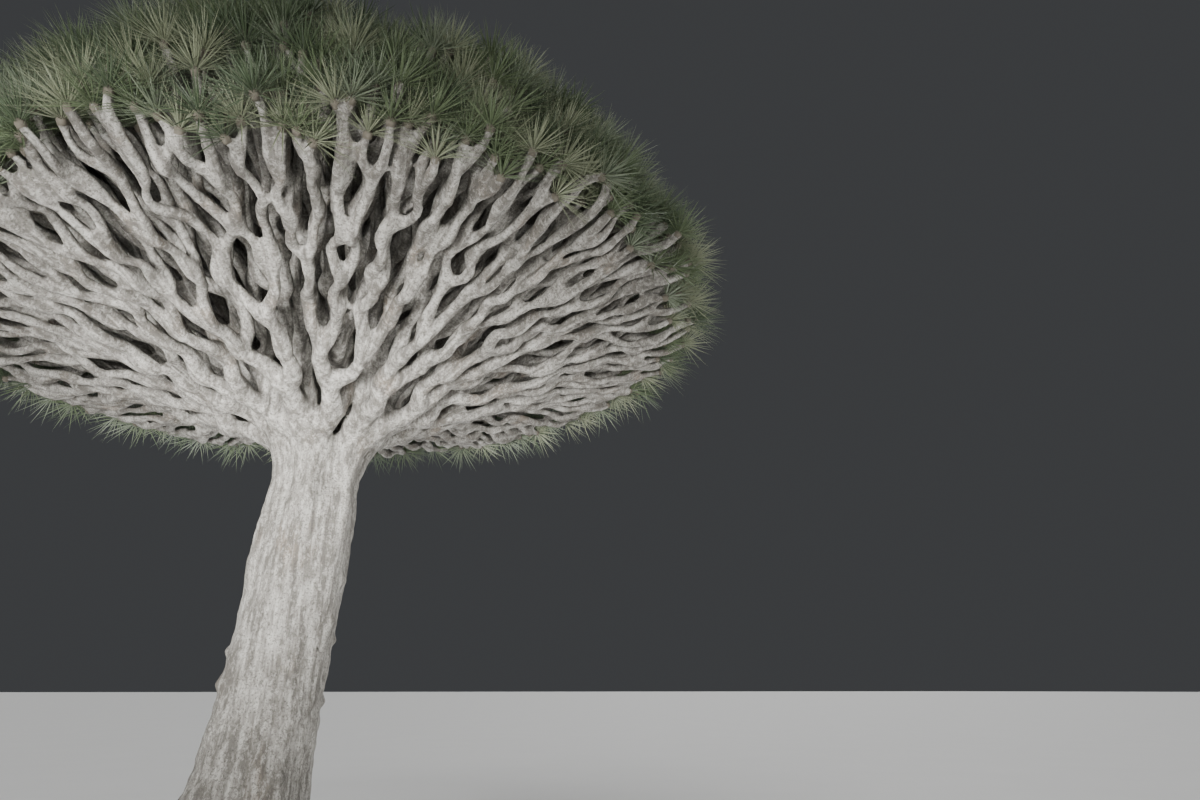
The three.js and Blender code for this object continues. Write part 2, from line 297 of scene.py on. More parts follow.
limbs = []
root_height = FORK.z - BOUGH_ROOT_DEPTH
for bough, cell in enumerate(main_cells(), start=1):
    share, azimuth = centre_of(cell)
    out = BOUGH_ROOT_OUT if cell.inner else 0
    root = Vector((trunk_lean(root_height) + out * math.cos(azimuth), out * math.sin(azimuth), root_height))
    grow(cell, 1, root, Vector((0, 0, 1)), bough, limbs)
limb_counts = [sum(limb.order == order for limb in limbs) for order in range(1, LAST_ORDER + 1)]
print("limbs of each order:", limb_counts)

# %% [markdown]
# ## From curves to solid limbs
#
# A limb is a row of rings round its curve, closed at both ends. The rings are turned to face along the
# curve, and each carries on the turn of the one before, so that the tube doesn't twist. A real twig is
# pinched at its forks and swollen between them, like a string of sausages, and most swollen on its first
# half, so its half width swings a little on its way. The first ring can face any way that no limb takes.
#
# Half widths are given at the root and the end of a limb, order by order. Nothing has order 0. The rounded
# ends are two rings of a half ball: how far out each is and how wide, as shares of the tube's half width.

# %% Make tubes from arrays
LIMB_RADII = [None, (0.205, 0.175), (0.142, 0.122), (0.107, 0.091), (0.083, 0.072), (0.065, 0.056),
              (0.052, 0.047), (0.044, 0.041), (0.039, 0.036), (0.035, 0.033)]
FIRST_TWIG_ORDER = 5
FIRST_PINCHED_ORDER = 3
PINCH = 0.11
PINCH_SKEW = 0.7
SIDES = 10
FIRST_SIDE = Vector((0.31, 0.95, 0.05))
CAP_RINGS = [(0.5, 0.866), (0.92, 0.39)]


def tube(points, radii, sides):
    """A closed tube as corners and faces, with one face over each end."""
    points = [Vector(point) for point in points]
    rings = len(points)
    side = FIRST_SIDE
    corners = []
    for ring, (point, radius) in enumerate(zip(points, radii)):
        ahead = (points[min(rings - 1, ring + 1)] - points[max(0, ring - 1)]).normalized()
        side = (side - ahead * side.dot(ahead)).normalized()
        front = ahead.cross(side)
        for turn in range(sides):
            angle = 2 * math.pi * turn / sides
            corners.append(point + side * (radius * math.cos(angle)) + front * (radius * math.sin(angle)))
    faces = []
    for ring in range(rings - 1):
        for turn in range(sides):
            first, second = ring * sides + turn, ring * sides + (turn + 1) % sides
            faces.append((first, second, second + sides, first + sides))
    faces.append(tuple(reversed(range(sides))))
    faces.append(tuple(range((rings - 1) * sides, rings * sides)))
    return corners, faces


def limb_tube(points, radii, sides=SIDES):
    """A tube with rounded ends, so that limbs that meet at a fork share a ball."""
    first_way = (points[0] - points[1]).normalized()
    last_way = (points[-1] - points[-2]).normalized()
    before = [(points[0] + first_way * (radii[0] * out), radii[0] * wide) for out, wide in CAP_RINGS]
    after = [(points[-1] + last_way * (radii[-1] * out), radii[-1] * wide) for out, wide in CAP_RINGS]
    line = before[::-1] + list(zip(points, radii)) + after
    return tube([point for point, _ in line], [radius for _, radius in line], sides)


def limb_radii(limb):
    """The half width at each point of a limb."""
    root, end = LIMB_RADII[limb.order]
    pinch = PINCH if limb.order >= FIRST_PINCHED_ORDER else 0
    radii = []
    for step in range(LIMB_STEPS + 1):
        share = step / LIMB_STEPS
        swing = math.cos(2 * math.pi * share ** PINCH_SKEW)
        radii.append(between(root, end, share) * (1 - pinch * swing))
    return radii


last_tube = limb_tube(limbs[-1].points, limb_radii(limbs[-1]))
print("one limb has", len(last_tube[1]), "faces")

# %% [markdown]
# A face names its corners by their numbers in one list. So when many tubes are joined into one mesh, each
# tube's numbers move on by the number of corners before it.

# %% Join tubes and make a piece
def join(parts):
    """Several corners and faces as one pair of lists."""
    corners, faces = [], []
    for part_corners, part_faces in parts:
        offset = len(corners)
        corners.extend(part_corners)
        faces.extend(tuple(corner + offset for corner in face) for face in part_faces)
    return corners, faces


def new_piece(name, corners, faces):
    """A Blender object from corners and faces."""
    mesh = bpy.data.meshes.new(name)
    mesh.from_pydata(corners, [], faces)
    piece = bpy.data.objects.new(name, mesh)
    scene.collection.objects.link(piece)
    return piece


print("two limbs joined have", len(join([last_tube, last_tube])[1]), "faces")

# %% [markdown]
# ## One skin from many tubes
#
# Tubes that only overlap show a hard crease at every fork, where a real tree has a smooth web of bark. A
# boolean union would keep the crease. A voxel remesh doesn't: it fills the tubes with small cubes, keeps
# what can be reached from outside, and wraps it in one even net. Rounding that net off afterwards fills the
# forks. Each point moves towards the middle of its neighbours and then a little more than back again,
# because moving only inwards would thin the twigs.

# %% Fuse and round off
SMOOTH_IN = 0.5
SMOOTH_OUT = -0.515
KEEP_THICKNESS = (SMOOTH_IN, SMOOTH_OUT)


def fused(name, parts, voxel):
    """One closed skin round overlapping tubes."""
    piece = new_piece(name, *join(parts))
    remesh = piece.modifiers.new("fuse", "REMESH")
    remesh.mode = "VOXEL"
    remesh.voxel_size = voxel
    ready = piece.evaluated_get(bpy.context.evaluated_depsgraph_get())
    skin = bpy.data.meshes.new_from_object(ready)
    piece.modifiers.clear()
    piece.data = skin
    return piece


def read(items, field, width, kind=float):
    """One field of many corners or edges as an array, with a row for each."""
    values = np.empty(len(items) * width, dtype=kind)
    items.foreach_get(field, values)
    return values.reshape(-1, width)


def write_corners(mesh, corners):
    """Put a mesh's corners in new places."""
    mesh.vertices.foreach_set("co", corners.astype(np.float32).ravel())
    mesh.update()


def round_off(mesh, rounds, pulls=KEEP_THICKNESS, share=1):
    """Even out a net, all of it or by a share from 0 to 1 at each corner."""
    corners = read(mesh.vertices, "co", 3)
    edges = read(mesh.edges, "vertices", 2, np.int32)
    both = np.concatenate([edges, edges[:, ::-1]])
    neighbours = np.bincount(both[:, 0], minlength=len(corners))[:, None]
    for _ in range(rounds):
        for pull in pulls:
            sums = [np.bincount(both[:, 0], corners[both[:, 1], axis], len(corners)) for axis in range(3)]
            corners += pull * share * (np.stack(sums, axis=1) / neighbours - corners)
    write_corners(mesh, corners)


def thin_out(piece, keep):
    """Leave only a share of the triangles, and the most of them where the net bends the most."""
    decimate = piece.modifiers.new("thin_out", "DECIMATE")
    decimate.ratio = keep
    ready = piece.evaluated_get(bpy.context.evaluated_depsgraph_get())
    piece_mesh = bpy.data.meshes.new_from_object(ready)
    piece.modifiers.clear()
    piece.data = piece_mesh


def triangles(piece):
    """How many triangles a mesh has once each of its faces is parted into them."""
    return sum(len(face.vertices) - 2 for face in piece.data.polygons)


print("rounding pulls in by", SMOOTH_IN, "and out by", -SMOOTH_OUT)

# %% [markdown]
# ## The relief of the bark
#
# Old bark on this tree is smooth from afar, and close by it is lumpy, with folds where boughs bear on the
# trunk, faint rings of old leaf scars, and knobs where limbs broke off. Anything that changes the outline
# has to be geometry, so these are moved points, and only what is finer than the net is left to the shader.
# Smooth noise gives lumps. Stretched along an axis it gives folds, and squashed it gives rings.

# %% Raise bark by noise
LUMP_SIZE = 0.30
LUMP_HEIGHT = 0.012
PIMPLE_SIZE = 0.085
PIMPLE_HEIGHT = 0.0075
PIMPLE_SHIFT = 7


def noise_at(places):
    """Smooth noise from about -1 to 1 at each place."""
    return np.array([noise.noise(Vector(place)) for place in places])


def fade(values, start, end):
    """0 before the start, 1 after the end, and smooth between them."""
    share = np.clip((values - start) / (end - start), 0, 1)
    return share * share * (3 - 2 * share)


def crown_lumps(corners):
    """Lumps and pimples that all bark has, from two places of the same noise."""
    lumps = noise_at(corners / LUMP_SIZE) * LUMP_HEIGHT
    return lumps + noise_at(corners / PIMPLE_SIZE + PIMPLE_SHIFT) * PIMPLE_HEIGHT


def raise_bark(mesh, heights):
    """Move each corner outwards by its own height."""
    normals = read(mesh.vertex_normals, "vector", 3)
    write_corners(mesh, read(mesh.vertices, "co", 3) + normals * heights[:, None])


print("bark has lumps of", LUMP_HEIGHT, "m and pimples of", PIMPLE_HEIGHT, "m")

# %% [markdown]
# ## The trunk
#
# The trunk flares at its foot, and its head, where the boughs stand out of it, is nearly as wide as its
# waist. It leans, and most of the lean comes early. Its half width at each height is worked out from three
# sizes, and the rings of a tube are moved onto it.

# %% Work out the trunk
FOOT_RADIUS = 0.65
WAIST_HEIGHT = 1.6
WAIST_RADIUS = 0.392
HEAD_RADIUS = 0.385
FLARE_HEIGHT = 0.60
HEAD_HEIGHT = 3.06
HEAD_SPREAD = 0.39
CAP_ROUNDNESS = 2.2
ROOT_LOBES = 5
ROOT_LOBE_DEPTH = 0.13
TRUNK_SIDES = 48
TRUNK_RINGS = 64
BELOW_GROUND = 0.08
CAP_OPENING = 0.002


def trunk_radius(height):
    """The trunk's half width at a height, before its lobes."""
    flare = (FOOT_RADIUS - WAIST_RADIUS) * math.exp(-height / FLARE_HEIGHT)
    swell = (HEAD_RADIUS - WAIST_RADIUS) * math.exp(-((height - HEAD_HEIGHT) / HEAD_SPREAD) ** 2)
    cap = max(0, (height - HEAD_HEIGHT) / (FORK.z + CAP_HEIGHT - HEAD_HEIGHT))
    return (WAIST_RADIUS + flare + swell) * math.sqrt(max(0, 1 - cap ** CAP_ROUNDNESS))


def trunk_tube():
    """The trunk from a little below the ground, where it is cut level later, to just under its cap's tip."""
    top = FORK.z + CAP_HEIGHT - CAP_OPENING
    heights = [between(-BELOW_GROUND, top, ring / TRUNK_RINGS) for ring in range(TRUNK_RINGS + 1)]
    corners = []
    for height in heights:
        level = max(0, height)
        radius, lean = trunk_radius(level), trunk_lean(level)
        for side in range(TRUNK_SIDES):
            turn = 2 * math.pi * side / TRUNK_SIDES
            lobe = 1 + ROOT_LOBE_DEPTH * math.cos(ROOT_LOBES * turn) * math.exp(-level / FLARE_HEIGHT)
            corners.append((lean + radius * lobe * math.cos(turn), radius * lobe * math.sin(turn), height))
    _, faces = tube([(0, 0, height) for height in heights], [1] * len(heights), TRUNK_SIDES)
    return corners, faces


print("trunk half width at the ground, waist and head:",
      [round(trunk_radius(height), 3) for height in (0, WAIST_HEIGHT, HEAD_HEIGHT)])

# %% [markdown]
# The skin holds the trunk, the first four orders of limbs, and a stub of each twig that a later cell grows
# on it. A stub is thinner at its end than the twig, so that it dives under the twig's own bark, and the two
# meet along a line that nobody sees. Round the fork the net is rounded off many more times, and inwards
# only, because that is what draws broad webs of bark between the boughs. The webs start below the fork,
# are full from there to a little above it, and end higher up.

# %% Make the skin of the trunk and boughs
SKIN_VOXEL = 0.0165
SKIN_ROUNDS = 7
SKIN_SIDES = 16
WEB_ROUNDS = 90
WEB_START_BELOW = 0.35
WEB_FULL_ABOVE = 0.35
WEB_END_ABOVE = 0.8
STUB_STEPS = 4
STUB_TAPER = 0.25


def stub_tube(limb):
    """The root of a twig, which tapers more than the twig does."""
    tapers = [1 - STUB_TAPER * step / (STUB_STEPS - 1) for step in range(STUB_STEPS)]
    radii = [radius * taper for radius, taper in zip(limb_radii(limb), tapers)]
    return limb_tube(limb.points[:STUB_STEPS], radii)


skin_parts = [trunk_tube()]
skin_parts += [limb_tube(limb.points, limb_radii(limb), SKIN_SIDES) for limb in limbs
               if limb.order < FIRST_TWIG_ORDER]
skin_parts += [stub_tube(limb) for limb in limbs if limb.order == FIRST_TWIG_ORDER]
skin = fused("trunk_and_boughs_bark", skin_parts, SKIN_VOXEL)
round_off(skin.data, SKIN_ROUNDS)
heights = read(skin.data.vertices, "co", 3)[:, 2]
near_fork = fade(heights, FORK.z - WEB_START_BELOW, FORK.z)
near_fork *= 1 - fade(heights, FORK.z + WEB_FULL_ABOVE, FORK.z + WEB_END_ABOVE)
round_off(skin.data, WEB_ROUNDS, (SMOOTH_IN,), near_fork[:, None])
print("skin faces:", len(skin.data.polygons))

# %% [markdown]
# On top of the lumps that all bark has, the trunk has a ridge under each outer bough, folds that run
# lengthwise, warts low down, and faint rings of old leaf scars. They fade out round the fork, where the
# boughs begin. The ridges are one wave round the trunk, and they stray to the left and right on their way
# down, because straight ones look carved. Each other form is one noise, read by the turn round the trunk
# and the height, or by the place.

# %% Forms of the trunk's bark
TRUNK_FADE_BELOW = 0.15
TRUNK_FADE_ABOVE = 0.30
RIDGE_HEIGHT = 0.024
RIDGE_LENGTH = 1.5
RIDGE_FULL_BELOW = 0.4
RIDGE_STRAY = 0.5
STRAY_SCALE = 0.9
FOLD_HEIGHT = 0.017
FOLD_SCALE = 3.2
FOLD_STRETCH = 0.35
SCAR_SPACING = 0.045
SCAR_HEIGHT = 0.0022
SCAR_SCALE = 3
WART_SIZE = 0.11
WART_HEIGHT = 0.013
WARTS_UP_TO = 1.4
NO_WARTS_FROM = 2.6


def trunk_share(corners):
    """1 on the trunk and 0 on the boughs."""
    return 1 - fade(corners[:, 2], FORK.z - TRUNK_FADE_BELOW, FORK.z + TRUNK_FADE_ABOVE)


def trunk_relief(corners):
    """How far ridges, folds, warts and scars stand out at each corner."""
    heights = corners[:, 2]
    leans = np.array([trunk_lean(max(0, height)) for height in heights])
    turns = np.arctan2(corners[:, 1], corners[:, 0] - leans)
    stray = noise_at(np.stack([heights * STRAY_SCALE, np.cos(turns), np.sin(turns)], axis=1)) * RIDGE_STRAY
    middle = FIRST_BOUND + math.pi / OUTER_BOUGHS
    ridges = np.cos(OUTER_BOUGHS * (turns - middle) + stray) * RIDGE_HEIGHT
    ridges *= fade(heights, FORK.z - RIDGE_LENGTH, FORK.z - RIDGE_FULL_BELOW)
    around = np.stack([np.cos(turns), np.sin(turns), heights * FOLD_STRETCH], axis=1)
    folds = noise_at(around * FOLD_SCALE) * FOLD_HEIGHT
    level = corners[:, :2] * SCAR_SCALE
    scars = noise_at(np.column_stack([level, heights / SCAR_SPACING])) * SCAR_HEIGHT
    warts = noise_at(corners / WART_SIZE) * WART_HEIGHT * (1 - fade(heights, WARTS_UP_TO, NO_WARTS_FROM))
    return ridges + folds + warts + scars


corners = read(skin.data.vertices, "co", 3)
relief = trunk_relief(corners)
print("the trunk's own relief is up to", round(float(np.abs(relief).max()), 3), "m")

# %% [markdown]
# Knobs are the round stumps of limbs that the tree lost. Each is a bump that falls off smoothly on every
# side, and its height, its turn round the trunk and its size are three draws of chance.

# %% Add knobs and raise the bark of the skin
KNOB_COUNT = 22
KNOB_RADIUS = 0.045
KNOB_HEIGHT = 0.030
KNOB_LOWEST = 0.35
KNOB_BELOW_FORK = 0.5
UNEVEN_KNOB = 0.4
KNOB_HEIGHT_DRAW = 31
KNOB_TURN_DRAW = 32
KNOB_SIZE_DRAW = 33


def knobs(corners):
    """How far the knobs stand out at each corner."""
    heights = np.zeros(len(corners))
    for knob in range(KNOB_COUNT):
        height = between(KNOB_LOWEST, FORK.z - KNOB_BELOW_FORK, chance(knob, KNOB_HEIGHT_DRAW))
        turn = 2 * math.pi * chance(knob, KNOB_TURN_DRAW)
        radius = trunk_radius(height)
        centre = np.array([trunk_lean(height) + radius * math.cos(turn), radius * math.sin(turn), height])
        size = KNOB_RADIUS * (1 + uneven(knob, KNOB_SIZE_DRAW, UNEVEN_KNOB))
        distances = np.linalg.norm(corners - centre, axis=1) / size
        heights += np.exp(-distances ** 2) * KNOB_HEIGHT * (size / KNOB_RADIUS)
    return heights


raise_bark(skin.data, crown_lumps(corners) + trunk_share(corners) * (relief + knobs(corners)))
print("skin raised, with", KNOB_COUNT, "knobs")

# %% [markdown]
# The trunk was made a little too long at its foot, so that the cut at the ground is clean and flat. The net
# is then thinned out, which can leave a corner a hair below the cut, so every corner is lifted to it.

# %% Cut the trunk level with the ground
SKIN_KEEP = 0.58

cut = bmesh.new()
cut.from_mesh(skin.data)
everything = cut.verts[:] + cut.edges[:] + cut.faces[:]
bmesh.ops.bisect_plane(cut, geom=everything, plane_co=(0, 0, 0), plane_no=(0, 0, -1), clear_outer=True)
open_edges = [edge for edge in cut.edges if edge.is_boundary]
bmesh.ops.edgenet_fill(cut, edges=open_edges)
bmesh.ops.recalc_face_normals(cut, faces=cut.faces[:])
cut.to_mesh(skin.data)
cut.free()
thin_out(skin, SKIN_KEEP)
corners = read(skin.data.vertices, "co", 3)
corners[:, 2] = np.maximum(corners[:, 2], 0)
write_corners(skin.data, corners)
skin.data.shade_smooth()
print("skin cut along", len(open_edges), "edges at the ground, and", triangles(skin), "triangles left")

# %% [markdown]
# ## The twigs
#
# The twigs, from the fifth order on, are made in the same way as the skin, with a coarser net, because
# there are many more of them and they are only 7 to 13 cm thick. A coarse net eats a little of their
# thickness, so they start a little thicker. The net is then thinned out: an even net spends as many
# triangles on a straight twig as on a fork. Each main bough's twigs are one mesh, which keeps every mesh to
# a size that a program opens quickly.

# %% Make the twigs of each bough
TWIG_VOXEL = 0.024
TWIG_ROUNDS = 4
TWIG_EXTRA = 0.002
TWIG_KEEP = 0.20
TWIG_LUMPS = 0.8

twig_pieces = {}
for bough in range(1, OUTER_BOUGHS + 2):
    own = [limb for limb in limbs if limb.bough == bough and limb.order >= FIRST_TWIG_ORDER]
    parts = [limb_tube(limb.points, [radius + TWIG_EXTRA for radius in limb_radii(limb)]) for limb in own]
    twigs = fused(f"twigs_{bough}", parts, TWIG_VOXEL)
    round_off(twigs.data, TWIG_ROUNDS)
    raise_bark(twigs.data, crown_lumps(read(twigs.data.vertices, "co", 3)) * TWIG_LUMPS)
    thin_out(twigs, TWIG_KEEP)
    twigs.data.shade_smooth()
    twig_pieces[bough] = twigs
print("twig triangles:", [triangles(twigs) for twigs in twig_pieces.values()])

# %% [markdown]
# ## The leaves
#
# Every twig ends in a rosette of stiff leaves like swords, about a third of a metre long and a centimetre
# wide, that point every way from straight on to nearly straight out. Young leaves stand upright in the
# middle and old ones lie flattest, so a leaf's lean gives its age, and with it its length and droop. What
# else differs between leaves comes from a generator with a fixed start, the same on every run.
#
# Thousands of separate objects would be slow, so the leaves are worked out together as arrays and joined.
# One leaf is a root, a row of three points where it is widest, and a tip. Its middle line lies lower than
# its edges, because the real one is folded along its keel, and that fold is what catches the light.

# %% Work out the tufts
LEAVES_PER_TUFT = 52
LEAF_LENGTH = 0.345
LEAF_HALF_WIDTH = 0.0057
WIDEST_SHARE = 0.28
KEEL_DEPTH = 0.004
STEEPEST_LEAN = math.radians(6)
FLATTEST_LEAN = math.radians(80)
YOUNG_LENGTH = 0.86
DROOP = 0.045
TIP_RISE = 0.36
LEAF_FOOT = 0.014
GOLDEN_TURN = math.radians(137.508)
UNEVEN_LEAN = 0.07
UNEVEN_TURN = 0.2
LENGTH_RANGE = (0.88, 1.08)
DROOP_RANGE = (0.3, 1.2)

random = np.random.default_rng(CHANCE_START)


def tuft_axes(limb):
    """Where a twig ends, the way its tuft points, and two ways across."""
    ahead = (limb.points[-1] - limb.points[-2]).normalized()
    ahead = (ahead + Vector((0, 0, TIP_RISE))).normalized()
    side = ahead.orthogonal().normalized()
    return limb.points[-1], ahead, side, ahead.cross(side)


def tuft_leaves(limb):
    """The roots, directions, sides, lengths and droops of one tuft's leaves, as arrays."""
    tip, ahead, side, front = (np.array(vector) for vector in tuft_axes(limb))
    steps = (np.arange(LEAVES_PER_TUFT) + 0.5) / LEAVES_PER_TUFT
    leans = np.arccos(between(math.cos(STEEPEST_LEAN), math.cos(FLATTEST_LEAN), steps))
    leans += random.uniform(-UNEVEN_LEAN, UNEVEN_LEAN, LEAVES_PER_TUFT)
    turns = np.arange(LEAVES_PER_TUFT) * GOLDEN_TURN + random.uniform(0, 2 * math.pi)
    turns += random.uniform(-UNEVEN_TURN, UNEVEN_TURN, LEAVES_PER_TUFT)
    outward = side * np.cos(turns)[:, None] + front * np.sin(turns)[:, None]
    ways = ahead * np.cos(leans)[:, None] + outward * np.sin(leans)[:, None]
    sides = np.cross(np.broadcast_to(ahead, ways.shape), outward)
    ages = leans / FLATTEST_LEAN
    lengths = LEAF_LENGTH * between(YOUNG_LENGTH, 1, ages) * random.uniform(*LENGTH_RANGE, LEAVES_PER_TUFT)
    droops = DROOP * ages * random.uniform(*DROOP_RANGE, LEAVES_PER_TUFT)
    return tip + ways * LEAF_FOOT, ways, sides, lengths, droops


def leaf_blades(roots, ways, sides, lengths, droops):
    """Corners of every blade, leaf by leaf, and the faces between them."""
    middle = roots + ways * (lengths * WIDEST_SHARE)[:, None]
    keel = middle + np.cross(sides, ways) * KEEL_DEPTH
    half = sides * LEAF_HALF_WIDTH
    tips = roots + ways * lengths[:, None]
    tips[:, 2] -= droops
    corners = np.stack([roots, middle - half, keel, middle + half, tips], axis=1)
    blade = [(0, 2, 1), (0, 3, 2), (1, 2, 4), (2, 3, 4)]
    starts = np.arange(len(roots)) * corners.shape[1]
    faces = [tuple(corner + start for corner in face) for start in starts.tolist() for face in blade]
    return corners.reshape(-1, 3).tolist(), faces


tips = [limb for limb in limbs if limb.order == LAST_ORDER]
print(len(tips), "tufts with", LEAVES_PER_TUFT, "leaves each")

# %% [markdown]
# The tufts of a real crown aren't all of one green. Here each tuft draws one of four, and all the leaves of
# one green are joined into one mesh, so that a few large meshes hold them all.

# %% Deal the tufts out by colour and make the leaves
TINT_DRAW = 40
LEAF_TINTS = {
    "green": (0.115, 0.150, 0.078, 1),
    "grey_green": (0.160, 0.190, 0.128, 1),
    "dark_green": (0.075, 0.102, 0.056, 1),
    "pale_green": (0.225, 0.246, 0.160, 1),
}

leaf_pieces = {}
for place, tint in enumerate(LEAF_TINTS):
    chosen = [limb for limb in tips if int(chance(limb.id, TINT_DRAW) * len(LEAF_TINTS)) == place]
    arrays = [np.concatenate(group) for group in zip(*[tuft_leaves(limb) for limb in chosen])]
    leaf_pieces[tint] = new_piece(f"leaves_{tint}", *leaf_blades(*arrays))
print("leaf triangles:", {tint: triangles(piece) for tint, piece in leaf_pieces.items()})

# %% [markdown]
# Where the leaves leave the twig, their old bases stay as a short swollen cuff. It hides the bare end of
# the twig, and gives every tuft a brown heart. Its line says how far along the twig and how wide it is.

# %% Make the cuffs
CUFF_LINE = [(-0.030, 0.031), (0.004, 0.035), (0.030, 0.016)]
CUFF_SIDES = 5


def cuff(limb):
    """The old leaf bases round a twig's tip, as a short tube."""
    tip, ahead, _, _ = tuft_axes(limb)
    points = [tip + ahead * along for along, _ in CUFF_LINE]
    return tube(points, [radius for _, radius in CUFF_LINE], CUFF_SIDES)


cuffs = new_piece("leaf_cuffs", *join(cuff(limb) for limb in tips))
cuffs.data.shade_smooth()
print("cuff triangles:", triangles(cuffs))

# %% [markdown]
# ## Writing finishes as sums
#
# A finish is a graph of nodes, and a graph written node by node is hard to read. The small class below
# holds one number that changes over a surface, and lets Python's own signs add the Math nodes, so that
# 1 - mask reads as what it does.

# %% A class for numbers that change over a surface
class Value:
    """A number that changes over a surface."""

    def __init__(self, finish, socket):
        self.finish = finish
        self.socket = socket

    def math(self, operation, first, second):
        return self.finish.node("ShaderNodeMath", {"operation": operation}, {0: first, 1: second})

    def __add__(self, other):
        return self.math("ADD", self, other)

    def __rsub__(self, other):
        return self.math("SUBTRACT", other, self)

    def __mul__(self, other):
        return self.math("MULTIPLY", self, other)

    __radd__ = __add__
    __rmul__ = __mul__


print("signs that add a Math node: + - *")

# %% [markdown]
# Everything else that a finish needs comes from one method, node, that makes a node, sets it, and feeds it.
# The other methods are short names for the nodes that these finishes use again and again. Sockets whose
# names aren't unique on their node go by number, and for the colours of a Mix node the numbers have names.

# %% A class for finishes
MIX_SHARE = 0
FIRST_COLOUR = 6
SECOND_COLOUR = 7
MIXED_COLOUR = 2


class Finish:
    """A material whose nodes are made one after the other."""

    def __init__(self, name, constants):
        self.material = bpy.data.materials.new(name)
        self.material.use_nodes = True
        self.tree = self.material.node_tree
        self.shader = self.tree.nodes["Principled BSDF"]
        for socket, value in constants.items():
            self.shader.inputs[socket].default_value = value

    def feed(self, socket, value):
        """Link a value that changes, or write a plain one into the socket."""
        if isinstance(value, Value):
            self.tree.links.new(value.socket, socket)
        else:
            socket.default_value = value

    def node(self, kind, settings=None, sockets=None, output=0):
        """Make a node, set it, feed its sockets, and give back one of its outputs."""
        made = self.tree.nodes.new(kind)
        for setting, value in (settings or {}).items():
            if setting == "stops":
                self.set_stops(made.color_ramp, value)
            else:
                setattr(made, setting, value)
        for socket, value in (sockets or {}).items():
            self.feed(made.inputs[socket], value)
        return Value(self, made.outputs[output])

    def set_stops(self, ramp, stops):
        """Place the ramp's two stops and give each a level of grey."""
        for element, (position, level) in zip(ramp.elements, stops):
            element.position = position
            element.color = (level, level, level, 1)

    def place(self):
        """Where on the piece a point is, in metres."""
        return self.node("ShaderNodeTexCoord", output="Object")

    def noise(self, place, scale, detail=4, roughness=0.55):
        return self.node("ShaderNodeTexNoise", None,
                         {"Vector": place, "Scale": scale, "Detail": detail, "Roughness": roughness})

    def mask(self, value, start, end):
        """0 below the start and 1 above the end."""
        return self.node("ShaderNodeValToRGB", {"stops": [(start, 0), (end, 1)]}, {"Fac": value})

    def blend(self, share, first, second):
        """From one colour to another by a share."""
        sockets = {MIX_SHARE: share, FIRST_COLOUR: first, SECOND_COLOUR: second}
        return self.node("ShaderNodeMix", {"data_type": "RGBA"}, sockets, output=MIXED_COLOUR)

    def stretch(self, place, scale):
        """The place times a scale for each axis. The smaller the scale, the longer the noise on that axis."""
        return self.node("ShaderNodeVectorMath", {"operation": "MULTIPLY"}, {0: place, 1: scale})

    def bump(self, height, strength, depth):
        """Normals as if the surface were raised by a height, which is finer than the net can be."""
        return self.node("ShaderNodeBump", None, {"Strength": strength, "Distance": depth, "Height": height})

    def paint(self, sockets):
        """Feed the shader itself, as the last step of a finish."""
        for socket, value in sockets.items():
            self.feed(self.shader.inputs[socket], value)
        return self.material


print("finishes are ready to be written")

# %% [markdown]
# ## The finish of the bark
#
# The bark is a pale silvery grey, like ash. Up close it is a patchwork: large darker clouds, streaks that
# rain has drawn lengthwise, thin rings where leaves once sat, pale crusts of lichen, and dark specks in the
# pores. Each is one noise, squashed or stretched in its own way. On the trunk, lengthwise is upwards. In
# the crown it is outwards from the fork, so there the noise is read by direction and not by place.
#
# The colours are laid one over the other, like coats of paint. A coat starts to show where its noise
# reaches one level, is full at a second, and covers by its strength. Where the second level is the lower
# one, the coat lies where its noise is low.

# %% The noises and coats of the bark
ASH = (0.330, 0.316, 0.286, 1)
DARK_CLOUD = (0.130, 0.120, 0.104, 1)
RAIN_STREAK = (0.095, 0.087, 0.076, 1)
LICHEN = (0.50, 0.487, 0.445, 1)
RUST = (0.34, 0.25, 0.17, 1)
PATCH_STRETCH = (1, 1, 0.45)

Speckle = namedtuple("Speckle", "scale detail roughness")
CLOUDS = Speckle(2.8, 5, 0.55)
MOTTLE = Speckle(12, 6, 0.75)
CRUST = Speckle(26, 6, 0.8)
GRAIN = Speckle(60, 4, 0.7)

Coat = namedtuple("Coat", "noise start full strength colour")
BARK_COATS = [
    Coat("clouds", 0.45, 0.60, 0.80, DARK_CLOUD),
    Coat("clouds", 0.57, 0.70, 0.35, RUST),
    Coat("streaks", 0.49, 0.61, 0.75, RAIN_STREAK),
    Coat("streaks", 0.48, 0.38, 0.50, LICHEN),
    Coat("mottle", 0.47, 0.58, 0.70, DARK_CLOUD),
    Coat("crust", 0.50, 0.62, 0.60, LICHEN),
    Coat("grain", 0.48, 0.38, 0.80, RAIN_STREAK),
]


def lay_coat(finish, coat, noise_value, colour):
    """The colour with one more coat over it."""
    mask = finish.mask(noise_value, min(coat.start, coat.full), max(coat.start, coat.full))
    if coat.start > coat.full:
        mask = 1 - mask
    return finish.blend(mask * coat.strength, colour, coat.colour)


print("coats of bark:", [coat.noise for coat in BARK_COATS])

# %% [markdown]
# One function writes the bark for the skin and for the twigs. They differ in how fine their streaks and
# rings are, across and along, and in which way is lengthwise. The same noises that colour the bark also
# raise it, so that its relief and its colours go together. Lichen is smoother than bare bark.

